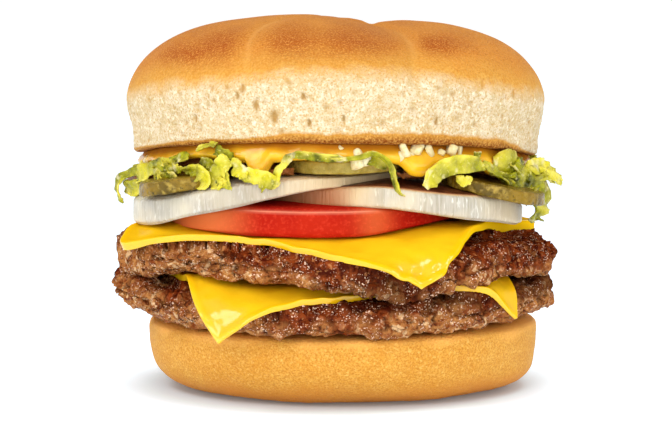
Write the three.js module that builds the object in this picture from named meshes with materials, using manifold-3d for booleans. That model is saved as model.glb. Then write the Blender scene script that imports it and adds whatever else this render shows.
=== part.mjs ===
// A double cheeseburger on a plain bun, as it stands on a table.
// Millimetres, +Z up, the front of the burger faces -Y, and the origin is under its middle.
// Every layer is a closed solid. Two layers that touch keep LAYER_GAP between them.
import * as THREE from "three";
import { mergeVertices } from "three/addons/utils/BufferGeometryUtils.js";
import Module from "manifold-3d";

// ---- Driving dimensions ----
const LAYER_GAP = 0.3;

const HEEL = { x: 1.2, y: 0, radius: 47, foot: 32, cornerRise: 11, height: 17.5 };
const CROWN = { x: 0, y: 0, radius: 50.9, top: 90.2, arch: 62 };
// How far the crown's cut face hangs below its arch: at the two sides, and towards front and back.
const CROWN_DROOP = { side: 5.8, sideReach: 49, front: 0.0008, back: 0.0012, ridge: -14, lean: 0.01 };
// The soft swells and hollows across the crown's top, each a ridge that runs from front to back.
const CROWN_SWELLS = [
  { x: -37, width: 13, height: 1.1 },
  { x: -12, width: 13, height: 0.9 },
  { x: 19, width: 10, height: 0.7 },
];
// The crease between the middle swell and the right one curves away to the right at the front.
const CROWN_CREASE = { x: 8.5, curve: 0.004, width: 5, depth: 1.3 };

const PATTY_RADIUS = 53.4;
const PATTY_LOWER_HEIGHT = 9.2;
const PATTY_UPPER_HEIGHT = 8.4;
// The front of the stack hangs a little where the slices weigh on it.
const FRONT_SAG = { drop: 1.6, from: 15, to: 52, lowerShare: 0.9 };
// The upper patty's lower rim droops over the slice below it on one side of the front.
const RIM_DROOP = { angle: -71, width: 17, drop: 1.9, from: 48.5, to: 52 };
// The lower patty's rim lifts beyond the heel: from and to are reaches, level and full are how far
// the rim faces the front, where it stays down.
const RIM_LIFT = { height: 1.5, from: 45, to: 53, level: 0.3, full: 0.9 };

const CHEESE_SIDE = 81.5;
const CHEESE_THICKNESS = 2.3;
// A slice bends down where it passes bendStart. steepest is how far each corner bends, in degrees:
// front left, front right, back right and back left, before the slice is turned.
// A hanging corner starts from the patty's height at this reach.
const CHEESE_GROUND_REACH = 50;
const CHEESE_LOWER = {
  x: -0.2, y: -6.8, turn: 15, bendStart: 49.4, bendRadius: 7.5, steepest: [78, 76, 30, 30],
};
const CHEESE_UPPER = {
  x: -0.8, y: -8.2, turn: -22, bendStart: 49.4, bendRadius: 9.5, steepest: [20, 64, 1, 30],
};

const TOMATO = { x: -5, y: -11, radius: 35.5, thickness: 5.5 };
const ONION_RIGHT = { x: 12.5, y: -12.5, radius: 32, thickness: 4.6 };
const ONION_LEFT = { x: -17, y: -12, radius: 34 };
// The left slice lies a little clear of the right one, so that both can bend.
const ONION_CLEARANCE = 0.7;
// The left onion slice is a wedge: thick where it hangs out, thin where it lies under the crown.
const ONION_WEDGE = { thick: 5.7, thin: 2.7, thickAt: -26, thinAt: 2 };
// Each slice slopes down towards its own side: where that begins, the slope it reaches, and how soon.
const ONION_LEFT_BEND = { from: -3, slope: 0.235, ease: 3 };
const ONION_RIGHT_BEND = { from: 10, slope: 0.2, ease: 4 };

const PICKLE_THICKNESS = 3.1;
// Each slice lies in a plane: its height at its middle, and its rise for each millimetre along X and Y.
const PICKLES = {
  pickle_left: { x: -36, y: -31, radius: 11.6, z: 50.9, alongX: 0.17, alongY: 0.02 },
  pickle_middle: { x: 1.5, y: -33, radius: 13.4, z: 54.5, alongX: 0.02, alongY: 0.03 },
  pickle_right: { x: 37.5, y: -25, radius: 13, z: 48.3, alongX: -0.2, alongY: 0.03 },
  pickle_back: { x: 12, y: 31, radius: 14, z: 50.2, alongX: -0.05, alongY: -0.3 },
};

const SAUCE = { radius: 47, thin: 0.8, rim: 2.8 };
const SAUCE_DRIPS = [
  { angle: -113, drop: 2.9, width: 6 },
  { angle: -64, drop: 3.0, width: 8 },
  { angle: -34, drop: 1.6, width: 6 },
  { angle: 62, drop: 2.4, width: 7 },
  { angle: 140, drop: 1.8, width: 9 },
];

// The salad heap hangs lower on some sides than on others: angle, reach, lowest and highest point.
const LETTUCE = { reach: 44, lowest: 51, highest: 57, lobesFrom: 20, ripple: 0.5, ripples: 13 };
const LETTUCE_LOBES = [
  { angle: -168, reach: 9.2, lower: 5.5, raise: -1, width: 14 },
  { angle: -8, reach: 10.5, lower: 7.5, raise: 0, width: 13 },
  { angle: 48, reach: 4.5, lower: 6, raise: -1.5, width: 20 },
  { angle: 100, reach: 5.5, lower: 6.5, raise: -1.5, width: 22 },
  { angle: 145, reach: 5, lower: 6, raise: -1.5, width: 18 },
];

// ---- Small helpers ----
const radians = (degrees) => (degrees * Math.PI) / 180;
const clamp01 = (value) => Math.min(Math.max(value, 0), 1);
const blend = (from, to, share) => from + (to - from) * share;

function easeBetween(start, end, value) {
  const share = clamp01((value - start) / (end - start));
  return share * share * (3 - 2 * share);
}

// 1 at the middle angle, falling to 0 over a few widths either side.
function bumpAt(angle, middle, width) {
  const away = THREE.MathUtils.euclideanModulo(angle - radians(middle) + Math.PI, 2 * Math.PI) - Math.PI;
  return Math.exp(-((away / radians(width)) ** 2));
}

// A hand-made outline: a circle with a few slow waves around it.
function unevenRadius(radius, waves) {
  const wave = (angle, [size, turns, shift]) => size * Math.cos(turns * angle + shift);
  return (angle) => waves.reduce((sum, one) => sum + wave(angle, one), radius);
}

// Merges the seam and the poles of a three.js geometry, and drops the triangles that closed up there.
function closed(geometry) {
  geometry.deleteAttribute("normal");
  geometry.deleteAttribute("uv");
  const merged = mergeVertices(geometry, 1e-4);
  const kept = [];
  const index = merged.index.array;
  for (let i = 0; i < index.length; i += 3) {
    const [a, b, c] = [index[i], index[i + 1], index[i + 2]];
    if (a !== b && b !== c && c !== a) kept.push(a, b, c);
  }
  merged.setIndex(kept);
  return merged;
}

function moveVertices(geometry, move) {
  const position = geometry.attributes.position;
  const point = new THREE.Vector3();
  for (let i = 0; i < position.count; i++) {
    point.fromBufferAttribute(position, i);
    move(point);
    position.setXYZ(i, point.x, point.y, point.z);
  }
  geometry.computeVertexNormals();
  return geometry;
}

// A layer is a lathe of a unit section, carried out to its outline and up to its two faces.
// section: [share of the outline's radius, share of the height], from the middle below to the middle above.
function layerGeometry({ x, y, outline, under, over, section, segments }) {
  const profile = section.map(([reach, rise]) => new THREE.Vector2(reach, rise));
  const lathe = closed(new THREE.LatheGeometry(profile, segments).rotateX(Math.PI / 2));
  return moveVertices(lathe, (point) => {
    const reach = Math.hypot(point.x, point.y);
    const angle = Math.atan2(point.y, point.x);
    const rise = point.z;
    const radius = reach * outline(angle);
    point.x = x + radius * Math.cos(angle);
    point.y = y + radius * Math.sin(angle);
    point.z = blend(under(point.x, point.y), over(point.x, point.y), rise);
  });
}

// ---- Sections ----
const CUT_SLICE = [[0, 0], [0.5, 0], [0.97, 0], [1, 0.12], [1, 0.88], [0.97, 1], [0.5, 1], [0, 1]];
// A slice that bends has more rings, so that its facets follow the bend.
const BENT_FACE = [0.35, 0.6, 0.78, 0.9, 0.972];
const BENT_SLICE = [
  [0, 0], ...BENT_FACE.map((reach) => [reach, 0]), [1, 0.15], [1, 0.85],
  ...BENT_FACE.toReversed().map((reach) => [reach, 1]), [0, 1],
];
const PATTY_SECTION = [
  [0, 0], [0.5, 0], [0.86, 0], [0.955, 0.09], [0.995, 0.32], [1, 0.56],
  [0.96, 0.82], [0.87, 1], [0.5, 1], [0, 1],
];
const CROWN_SECTION = [
  [0, 0], [0.45, 0], [0.73, 0], [0.9, 0], [0.955, 0.012], [0.962, 0.06], [0.958, 0.15], [0.982, 0.3],
  [1, 0.42], [0.985, 0.53], [0.94, 0.645], [0.85, 0.77], [0.7, 0.87], [0.5, 0.94], [0.25, 0.985], [0, 1],
];
const SAUCE_SECTION = [
  [0, 0], [0.5, 0], [0.82, 0], [0.94, 0], [0.99, 0.2], [1, 0.75], [0.96, 1], [0.82, 1], [0.5, 1], [0, 1],
];
const HEAP_SECTION = [
  [0, 0], [0.6, 0], [0.85, 0], [0.97, 0.2], [1, 0.55], [0.95, 0.9], [0.82, 1], [0.5, 1], [0, 1],
];

// The heel's section: a flat foot, an elliptic corner, a straight side and a flat cut face.
function heelSection() {
  const corner = [];
  const steps = 4;
  for (let i = 1; i <= steps; i++) {
    const turn = (i / steps) * (Math.PI / 2);
    const reach = HEEL.foot + (HEEL.radius - HEEL.foot) * Math.sin(turn);
    const rise = HEEL.cornerRise * (1 - Math.cos(turn));
    corner.push([reach / HEEL.radius, rise / HEEL.height]);
  }
  const foot = HEEL.foot / HEEL.radius;
  return [[0, 0], [foot, 0], ...corner, [0.998, 0.9], [0.975, 1], [0.6, 1], [0, 1]];
}

// ---- Heights of the layers, from the table up ----
const frontSag = (y) => FRONT_SAG.drop * easeBetween(FRONT_SAG.from, FRONT_SAG.to, -y);

// The lower patty rests on the heel, and its rim lifts a little beyond it, but not at the front.
function pattyLowerUnder(x, y) {
  const reach = Math.hypot(x, y);
  const front = easeBetween(RIM_LIFT.level, RIM_LIFT.full, -y / Math.max(reach, 1));
  const lift = RIM_LIFT.height * easeBetween(RIM_LIFT.from, RIM_LIFT.to, reach);
  return HEEL.height + LAYER_GAP + lift * (1 - front);
}
function pattyLowerOver(x, y) {
  return HEEL.height + LAYER_GAP + PATTY_LOWER_HEIGHT - FRONT_SAG.lowerShare * frontSag(y);
}
const cheeseLowerUnder = (x, y) => pattyLowerOver(x, y) + LAYER_GAP;

function pattyUpperUnder(x, y) {
  const around = bumpAt(Math.atan2(y, x), RIM_DROOP.angle, RIM_DROOP.width);
  const atRim = easeBetween(RIM_DROOP.from, RIM_DROOP.to, Math.hypot(x, y));
  return cheeseLowerUnder(x, y) + CHEESE_THICKNESS + LAYER_GAP - RIM_DROOP.drop * around * atRim;
}
const pattyUpperOver = (x, y) => pattyUpperUnder(0, 0) + PATTY_UPPER_HEIGHT - frontSag(y);
const cheeseUpperUnder = (x, y) => pattyUpperOver(x, y) + LAYER_GAP;
const tomatoUnder = (x, y) => cheeseUpperUnder(x, y) + CHEESE_THICKNESS + LAYER_GAP;

function bendDown({ slope, ease }, past) {
  const along = Math.max(0, past);
  return (slope * along ** 2) / (along + ease);
}

// The right onion slice lies on the tomato and slopes down to the right, where it presses it thin.
function onionRightUnder(x, y) {
  const level = tomatoUnder(x, y) + TOMATO.thickness + LAYER_GAP;
  return level - bendDown(ONION_RIGHT_BEND, x - ONION_RIGHT_BEND.from);
}

// The left onion slice lies on the right one and slopes down to the left.
function onionLeftUnder(x, y) {
  const level = tomatoUnder(x, y) + TOMATO.thickness + ONION_RIGHT.thickness + ONION_CLEARANCE;
  return level - bendDown(ONION_LEFT_BEND, ONION_LEFT_BEND.from - x);
}

// Under the left slice, the right one is pressed thin too.
function onionRightOver(x, y) {
  const full = onionRightUnder(x, y) + ONION_RIGHT.thickness;
  return Math.min(full, onionLeftUnder(x, y) - LAYER_GAP);
}
function onionLeftOver(x, y) {
  const share = easeBetween(ONION_WEDGE.thinAt, ONION_WEDGE.thickAt, x);
  return onionLeftUnder(x, y) + blend(ONION_WEDGE.thin, ONION_WEDGE.thick, share);
}

// The tomato's two ends are pressed thin by the onion slices above it.
function tomatoOver(x, y) {
  const full = tomatoUnder(x, y) + TOMATO.thickness;
  return Math.min(full, onionLeftUnder(x, y) - LAYER_GAP, onionRightUnder(x, y) - LAYER_GAP);
}

// The crown's cut face is an arch: highest over the slices, lower at the rim.
function crownUnder(x, y) {
  const side = CROWN_DROOP.side * (Math.abs(x) / CROWN_DROOP.sideReach) ** 3;
  const along = y - CROWN_DROOP.ridge;
  const ends = (along < 0 ? CROWN_DROOP.front : CROWN_DROOP.back) * along ** 2;
  return CROWN.arch - side - ends - CROWN_DROOP.lean * x;
}

// The crown's top: three soft lobes with a shallow crease between the middle and the right one.
function crownOver(x, y) {
  const ridge = (middle, width, height) => height * Math.exp(-(((x - middle) / width) ** 2));
  const swells = CROWN_SWELLS.reduce((sum, swell) => sum + ridge(swell.x, swell.width, swell.height), 0);
  const crease = CROWN_CREASE.x + CROWN_CREASE.curve * Math.min(y, 0) ** 2;
  return CROWN.top + swells - ridge(crease, CROWN_CREASE.width, CROWN_CREASE.depth);
}

const sauceOver = (x, y) => crownUnder(x, y) - LAYER_GAP;
function sauceUnder(x, y) {
  const angle = Math.atan2(y, x);
  const atRim = easeBetween(0.82, 0.94, Math.hypot(x, y) / SAUCE.radius);
  const drips = SAUCE_DRIPS.reduce((sum, drip) => sum + drip.drop * bumpAt(angle, drip.angle, drip.width), 0);
  return sauceOver(x, y) - SAUCE.thin - atRim * (SAUCE.rim - SAUCE.thin + drips);
}

const overLobes = (key) => (angle) =>
  LETTUCE_LOBES.reduce((sum, lobe) => sum + lobe[key] * bumpAt(angle, lobe.angle, lobe.width), 0);
const lobeReach = overLobes("reach");
const lobeLower = overLobes("lower");
const lobeRaise = overLobes("raise");

// ---- Layers ----
const layers = {
  bun_heel: {
    ...HEEL,
    outline: unevenRadius(HEEL.radius, [[0.35, 2, 0.4], [0.3, 5, 1.1]]),
    under: () => 0,
    over: () => HEEL.height,
    section: heelSection(),
    segments: 40,
  },
  patty_lower: {
    x: 0,
    y: 0,
    outline: unevenRadius(PATTY_RADIUS, [[0.5, 3, 0.3], [0.5, 7, 2.1], [0.35, 12, 0.7]]),
    under: pattyLowerUnder,
    over: pattyLowerOver,
    section: PATTY_SECTION,
    segments: 44,
  },
  patty_upper: {
    x: 0,
    y: 0,
    outline: unevenRadius(PATTY_RADIUS, [[0.5, 2, 0.2], [0.5, 6, 1.3], [0.35, 11, 2.4]]),
    under: pattyUpperUnder,
    over: pattyUpperOver,
    section: PATTY_SECTION,
    segments: 44,
  },
  tomato: {
    ...TOMATO,
    outline: unevenRadius(TOMATO.radius, [[0.4, 3, 1.0], [0.2, 5, 0.2]]),
    under: tomatoUnder,
    over: tomatoOver,
    section: BENT_SLICE,
    segments: 32,
  },
  onion_right: {
    ...ONION_RIGHT,
    outline: unevenRadius(ONION_RIGHT.radius, [[0.3, 2, 0.5]]),
    under: onionRightUnder,
    over: onionRightOver,
    section: BENT_SLICE,
    segments: 32,
  },
  onion_left: {
    ...ONION_LEFT,
    outline: unevenRadius(ONION_LEFT.radius, [[0.3, 2, 1.5]]),
    under: onionLeftUnder,
    over: onionLeftOver,
    section: BENT_SLICE,
    segments: 32,
  },
  sauce: {
    x: 0,
    y: 0,
    outline: unevenRadius(SAUCE.radius, [[0.5, 4, 0.6], [0.4, 9, 1.9]]),
    under: sauceUnder,
    over: sauceOver,
    section: SAUCE_SECTION,
    segments: 40,
  },
  bun_top: {
    ...CROWN,
    outline: unevenRadius(CROWN.radius, [[0.2, 2, 0.2], [0.25, 5, 2.0]]),
    under: crownUnder,
    over: crownOver,
    section: CROWN_SECTION,
    segments: 44,
  },
};

for (const [name, slice] of Object.entries(PICKLES)) {
  const plane = (x, y) => slice.z + slice.alongX * (x - slice.x) + slice.alongY * (y - slice.y);
  layers[name] = {
    ...slice,
    outline: unevenRadius(slice.radius, [[0.3, 2, slice.x], [0.2, 3, slice.y]]),
    under: plane,
    over: (x, y) => plane(x, y) + PICKLE_THICKNESS,
    section: CUT_SLICE,
    segments: 18,
  };
}

// ---- Cheese ----
// A square slice that lies on a patty, bends over the rim and hangs down at its corners.
function cheeseGeometry({ x, y, turn, bendStart, bendRadius, steepest }, under) {
  const cells = 13;
  const quarter = Math.PI / 2;
  const cornerAt = (point) => {
    const angle = Math.atan2(point.y - y, point.x - x) - radians(turn);
    return Math.floor(THREE.MathUtils.euclideanModulo(angle / quarter + 2, 4));
  };
  const slab = closed(new THREE.BoxGeometry(CHEESE_SIDE, CHEESE_SIDE, CHEESE_THICKNESS, cells, cells, 1));
  slab.translate(0, 0, CHEESE_THICKNESS / 2).rotateZ(radians(turn)).translate(x, y, 0);
  return moveVertices(slab, (point) => {
    const level = point.z;
    const flatReach = Math.hypot(point.x, point.y);
    const angle = Math.atan2(point.y, point.x);
    const past = Math.max(0, flatReach - bendStart);
    const fullBend = bendRadius * radians(steepest[cornerAt(point)]);
    const bend = Math.min(past, fullBend) / bendRadius;
    const straight = Math.max(0, past - fullBend);
    const reach = Math.min(flatReach, bendStart) + bendRadius * Math.sin(bend) + straight * Math.cos(bend);
    const drop = bendRadius * (1 - Math.cos(bend)) + straight * Math.sin(bend);
    const outward = reach + level * Math.sin(bend);
    const onPatty = Math.min(reach, CHEESE_GROUND_REACH);
    const ground = under(Math.cos(angle) * onPatty, Math.sin(angle) * onPatty);
    point.x = outward * Math.cos(angle);
    point.y = outward * Math.sin(angle);
    point.z = ground - drop + level * Math.cos(bend);
  });
}

// ---- Salad heap ----
// A loose heap between the slices and the crown, cut clear of everything that it lies on and under.
const wasm = await Module();
wasm.setup();

function solidOf(geometry) {
  const mesh = new wasm.Mesh({
    numProp: 3,
    vertProperties: new Float32Array(geometry.attributes.position.array),
    triVerts: new Uint32Array(geometry.index.array),
  });
  return new wasm.Manifold(mesh);
}

function geometryOf(solid) {
  const mesh = solid.getMesh();
  const geometry = new THREE.BufferGeometry();
  geometry.setAttribute("position", new THREE.BufferAttribute(mesh.vertProperties, 3));
  geometry.setIndex(new THREE.BufferAttribute(mesh.triVerts, 1));
  geometry.computeVertexNormals();
  return geometry;
}

// The room that a layer takes up and shades: a coarse prism round it, down to the floor or up to the ceiling.
const ROOM = { gap: 0.8, floor: 25, ceiling: 100, crownShare: 0.965 };

function roomBelow(layer) {
  return solidOf(layerGeometry({
    ...layer,
    outline: (angle) => layer.outline(angle) + ROOM.gap,
    under: () => ROOM.floor,
    over: (x, y) => layer.over(x, y) + ROOM.gap,
    section: [[0, 0], [1, 0], [1, 1], ...layer.section.filter(([, rise]) => rise === 1)],
    segments: Math.max(layer.segments / 2, 18),
  }));
}

function roomAbove(layer, rim) {
  return solidOf(layerGeometry({
    ...layer,
    outline: (angle) => rim * layer.outline(angle) + ROOM.gap,
    under: (x, y) => layer.under(x, y) - ROOM.gap,
    over: () => ROOM.ceiling,
    section: [...layer.section.filter(([, rise]) => rise === 0), [1, 0], [1, 1], [0, 1]],
  }));
}

function lettuceGeometry() {
  const ripple = (angle) => LETTUCE.ripple * Math.cos(LETTUCE.ripples * angle);
  const towardsRim = (x, y) => easeBetween(LETTUCE.lobesFrom, LETTUCE.reach, Math.hypot(x, y));
  const heap = layerGeometry({
    x: 0,
    y: 0,
    outline: (angle) => LETTUCE.reach + lobeReach(angle) + ripple(angle),
    under: (x, y) => LETTUCE.lowest - lobeLower(Math.atan2(y, x)) * towardsRim(x, y),
    over: (x, y) => LETTUCE.highest + lobeRaise(Math.atan2(y, x)) * towardsRim(x, y),
    section: HEAP_SECTION,
    segments: 36,
  });
  const lying = ["patty_upper", "tomato", "onion_right", "onion_left", ...Object.keys(PICKLES)];
  let solid = solidOf(heap);
  for (const name of lying) solid = solid.subtract(roomBelow(layers[name]));
  solid = solid.subtract(roomAbove(layers.sauce, 1));
  solid = solid.subtract(roomAbove(layers.bun_top, ROOM.crownShare));
  const bodies = solid.decompose().sort((a, b) => b.volume() - a.volume());
  return geometryOf(bodies[0]);
}

// ---- Finishes and assembly ----
const finishes = {
  bun_top: [0xd08a3e, 0.5],
  bun_heel: [0xdca055, 0.6],
  patty_lower: [0x5a2f1c, 0.55],
  patty_upper: [0x5a2f1c, 0.55],
  cheese_lower: [0xfcc810, 0.35],
  cheese_upper: [0xfcc810, 0.35],
  tomato: [0xd8301f, 0.25],
  onion_right: [0xe9e4da, 0.4],
  onion_left: [0xe9e4da, 0.4],
  pickle_left: [0x86852f, 0.35],
  pickle_middle: [0x86852f, 0.35],
  pickle_right: [0x86852f, 0.35],
  pickle_back: [0x86852f, 0.35],
  lettuce: [0xa9c23a, 0.45],
  sauce: [0xf5bb24, 0.3],
};

function geometryNamed(name) {
  if (name === "cheese_lower") return cheeseGeometry(CHEESE_LOWER, cheeseLowerUnder);
  if (name === "cheese_upper") return cheeseGeometry(CHEESE_UPPER, cheeseUpperUnder);
  if (name === "lettuce") return lettuceGeometry();
  return layerGeometry(layers[name]);
}

const group = new THREE.Group();
for (const [name, [color, roughness]] of Object.entries(finishes)) {
  const material = new THREE.MeshStandardMaterial({ color, roughness, metalness: 0 });
  const mesh = new THREE.Mesh(geometryNamed(name), material);
  mesh.name = name;
  group.add(mesh);
}

export default group;
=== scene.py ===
# %% [markdown]
# # A double cheeseburger, made piece by piece
# The frame holds the burger's layers as plain solids of the right size, each in its place. Food looks real
# through its uneven surface, so each layer gets a finer mesh here, a relief that is worked into that mesh,
# and a material of its own. All lengths below are in millimetres until they reach Blender, which works in
# metres.

# %% Load the frame
import random
from math import atan2, cos, degrees, exp, hypot, pi, radians, sin, sqrt

import bmesh
import bpy
from mathutils import Matrix, Vector, noise
from mathutils.bvhtree import BVHTree
from mathutils.kdtree import KDTree


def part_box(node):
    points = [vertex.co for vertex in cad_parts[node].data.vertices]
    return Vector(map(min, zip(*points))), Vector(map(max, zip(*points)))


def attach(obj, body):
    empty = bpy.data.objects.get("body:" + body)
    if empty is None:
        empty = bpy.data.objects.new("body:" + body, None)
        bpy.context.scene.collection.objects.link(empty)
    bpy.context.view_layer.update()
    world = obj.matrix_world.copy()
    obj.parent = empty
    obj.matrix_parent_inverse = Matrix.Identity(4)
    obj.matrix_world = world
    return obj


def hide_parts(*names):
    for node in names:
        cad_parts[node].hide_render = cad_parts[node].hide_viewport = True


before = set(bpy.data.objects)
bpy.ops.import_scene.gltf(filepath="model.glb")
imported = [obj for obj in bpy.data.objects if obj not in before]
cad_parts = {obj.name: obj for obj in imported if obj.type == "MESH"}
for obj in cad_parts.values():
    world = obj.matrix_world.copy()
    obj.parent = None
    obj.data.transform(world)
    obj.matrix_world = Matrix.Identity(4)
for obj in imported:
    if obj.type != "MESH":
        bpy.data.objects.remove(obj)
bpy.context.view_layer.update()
scene = bpy.context.scene
MM = 0.001
print("layers:", ", ".join(sorted(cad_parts)))

# %% [markdown]
# ## The studio
# The burger stands on a white floor under large soft lights, seen from a little above through a long lens,
# as food is often shot: a long lens keeps the round layers from bulging. The world is white around the
# horizon and greyer overhead, so that the background stays clean and the lamps still model the shapes.

# %% Camera
DISTANCE = 600
ELEVATION = radians(4.5)
AIM_HEIGHT = 40.4
SENSOR_WIDTH = 36
# What the view takes in across, at the burger's distance.
VIEW_WIDTH = 164.706

camera = bpy.data.objects.new("camera", bpy.data.cameras.new("camera"))
camera.data.sensor_width = SENSOR_WIDTH
camera.data.lens = DISTANCE * SENSOR_WIDTH / VIEW_WIDTH
camera.data.clip_start = 0.05
aim = Vector((0, 0, AIM_HEIGHT)) * MM
camera.location = aim + Vector((0, -cos(ELEVATION), sin(ELEVATION))) * DISTANCE * MM
camera.rotation_euler = (pi / 2 - ELEVATION, 0, 0)
scene.collection.objects.link(camera)
scene.camera = camera
scene.view_settings.view_transform = "Standard"
print("lens", round(camera.data.lens, 1), "mm")


# %% A way to write node materials
def linear(hexcolour):
    """An sRGB hex colour as the linear RGBA that Blender's sockets take."""
    channels = [int(hexcolour[i:i + 2], 16) / 255 for i in (1, 3, 5)]
    return [c / 12.92 if c <= 0.04045 else ((c + 0.055) / 1.055) ** 2.4 for c in channels] + [1]


def add(tree, kind, inputs=None, **settings):
    """Adds a node. inputs gives each socket a colour, a number, a vector or another node's socket."""
    node = tree.nodes.new(kind)
    for name, value in settings.items():
        setattr(node, name, value)
    for name, value in (inputs or {}).items():
        socket = node.inputs[name]
        if isinstance(value, bpy.types.NodeSocket):
            tree.links.new(value, socket)
        else:
            socket.default_value = linear(value) if isinstance(value, str) else value
    return node


def material(name):
    """A material without nodes yet, and its node tree."""
    made = bpy.data.materials.new(name)
    made.use_nodes = True
    made.node_tree.nodes.clear()
    return made, made.node_tree


# %% Lamps
def lamp(name, kind, place, strength, **settings):
    """A lamp at that place, in millimetres, that faces the burger."""
    made = bpy.data.objects.new(name, bpy.data.lights.new(name, kind))
    made.data.energy = strength
    for setting, value in settings.items():
        setattr(made.data, setting, value)
    made.location = Vector(place) * MM
    made.rotation_euler = (aim - made.location).to_track_quat("-Z", "Y").to_euler()
    scene.collection.objects.link(made)


lamp("key", "SUN", (-90, -540, 470), 0.54, angle=radians(22))
lamp("soft_box", "AREA", (-110, -560, 330), 0.4, size=0.3)
lamp("left_box", "AREA", (-600, -400, 230), 0.55, size=0.25)
lamp("right_box", "AREA", (560, -560, 260), 1.35, size=0.45)
lamp("low_box", "AREA", (-60, -640, 60), 0.75, size=0.35)
lamp("flap_box_left", "AREA", (-372, -284, 487), 0.95, size=0.25)
lamp("flap_box_right", "AREA", (269, -126, 618), 0.65, size=0.18)

# %% World
world = bpy.data.worlds.new("studio")
world.use_nodes = True
scene.world = world
tree = world.node_tree
tree.nodes.clear()
direction = add(tree, "ShaderNodeTexCoord")
height = add(tree, "ShaderNodeSeparateXYZ", {"Vector": direction.outputs["Generated"]})
above = add(tree, "ShaderNodeMapRange", {"Value": height.outputs["Z"], "From Min": 0.1, "From Max": 0.35,
                                         "To Min": 1.02, "To Max": 0.5}, interpolation_type="SMOOTHSTEP")
sky = add(tree, "ShaderNodeBackground", {"Color": "#FFFFFF", "Strength": above.outputs["Result"]})
add(tree, "ShaderNodeOutputWorld", {"Surface": sky.outputs["Background"]})

# %% Floor
FLOOR_REACH = 6000
# Next to the burger the floor hardly glows, so that a soft shadow stays; that ring of low glow is
# itself a painted shadow.
SHADOW_FROM = 40
SHADOW_TO = 60


def make_piece(name, bm):
    """An object with the bmesh as its mesh, at the origin."""
    mesh = bpy.data.meshes.new(name)
    bm.to_mesh(mesh)
    bm.free()
    mesh.shade_smooth()
    piece = bpy.data.objects.new(name, mesh)
    scene.collection.objects.link(piece)
    return piece


sheet = bmesh.new()
bmesh.ops.create_grid(sheet, x_segments=1, y_segments=1, size=FLOOR_REACH * MM)
floor = make_piece("floor", sheet)
# White paper: dull, with a painted glow that keeps it pure white, and near the burger a painted shadow
# where the glow fades. It is also a little cool, which takes the warm light that the food throws on it back
# to grey.
white, tree = material("white_paper")
place = add(tree, "ShaderNodeTexCoord").outputs["Object"]
away = add(tree, "ShaderNodeVectorMath", {"Vector": place}, operation="LENGTH").outputs["Value"]
# The glow is painted light over the floor, fading to a painted shadow near the burger.
glow = add(tree, "ShaderNodeMapRange", {"Value": away, "From Min": SHADOW_FROM * MM,
                                        "From Max": SHADOW_TO * MM, "To Min": 0.08, "To Max": 0.6},
           interpolation_type="SMOOTHSTEP")
paint = add(tree, "ShaderNodeBsdfPrincipled", {"Base Color": "#D4E6F4", "Roughness": 0.9,
                                               "Specular IOR Level": 0.1, "Emission Color": "#FFFFFF",
                                               "Emission Strength": glow.outputs["Result"]})
add(tree, "ShaderNodeOutputMaterial", {"Surface": paint.outputs["BSDF"]})
floor.data.materials.append(white)

# %% [markdown]
# ## From a plain solid to a mesh that can take a relief
# A layer in the frame is a few hundred triangles. A copy of it is merged, its triangles are paired into
# quads, and subdivision rounds it and gives it enough vertices. Then a function says, for each point, how
# far the surface stands out or in, which is what a sculptor's brush does by hand.


# %% Falloffs and noise
def smoothstep(start, end, value):
    """0 before the start, 1 after the end, and a soft rise between. The end may lie below the start."""
    share = min(max((value - start) / (end - start), 0), 1)
    return share * share * (3 - 2 * share)


def clamp(value):
    return min(max(value, 0), 1)


def along_list(points, x):
    """The value at x on the straight lines through the points (x, value)."""
    for (x0, a), (x1, b) in zip(points, points[1:]):
        if x < x1:
            return a + (b - a) * clamp((x - x0) / (x1 - x0))
    return points[-1][1]


def fractal(place, size):
    """Noise with bumps about that many millimetres across, from -1 to 1, the same on each run."""
    return noise.noise(place / size)


# %% Mesh helpers
# Three levels of subdivision turn a CAD face of some millimetres into steps of about half a millimetre.
LEVELS = 3


def merged_copy(node):
    """A CAD node's mesh with its corners merged and its triangles paired into quads."""
    bm = bmesh.new()
    bm.from_mesh(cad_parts[node].data)
    bmesh.ops.remove_doubles(bm, verts=bm.verts, dist=0.002 * MM)
    bmesh.ops.join_triangles(bm, faces=bm.faces, angle_face_threshold=radians(60),
                             angle_shape_threshold=radians(70))
    return bm


def settle(piece):
    """Applies the modifiers, so that the mesh is final."""
    depsgraph = bpy.context.evaluated_depsgraph_get()
    mesh = bpy.data.meshes.new_from_object(piece.evaluated_get(depsgraph))
    piece.modifiers.clear()
    piece.data = mesh
    return piece


def subdivide(piece, levels=LEVELS):
    finer = piece.modifiers.new("finer", "SUBSURF")
    finer.levels = finer.render_levels = levels
    return settle(piece)


def refine(piece, chosen):
    """Halves the faces for which chosen(place of the middle) is true."""
    bm = bmesh.new()
    bm.from_mesh(piece.data)
    faces = [face for face in bm.faces if chosen(face.calc_center_median() / MM)]
    edges = {edge for face in faces for edge in face.edges}
    bmesh.ops.subdivide_edges(bm, edges=list(edges), cuts=1, use_grid_fill=True)
    bm.to_mesh(piece.data)
    bm.free()
    piece.data.shade_smooth()


# %% Shaping and marking a mesh
def shift(piece, move):
    """Moves each vertex by the vector move(place, normal), in millimetres."""
    vertices = piece.data.vertices
    normals = [v.normal.copy() for v in vertices]
    for v, normal in zip(vertices, normals):
        v.co += move(v.co / MM, normal) * MM
    piece.data.update()
    return piece


def sculpt(piece, relief):
    """Moves each vertex along its normal by relief(place, normal), in millimetres."""
    return shift(piece, lambda p, n: n * relief(p, n))


def brush(piece, name, value):
    """Stores value(place, normal) at each vertex, for the material to read."""
    layer = piece.data.attributes.new(name, "FLOAT", "POINT")
    layer.data.foreach_set("value", [value(v.co / MM, v.normal) for v in piece.data.vertices])


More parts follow.
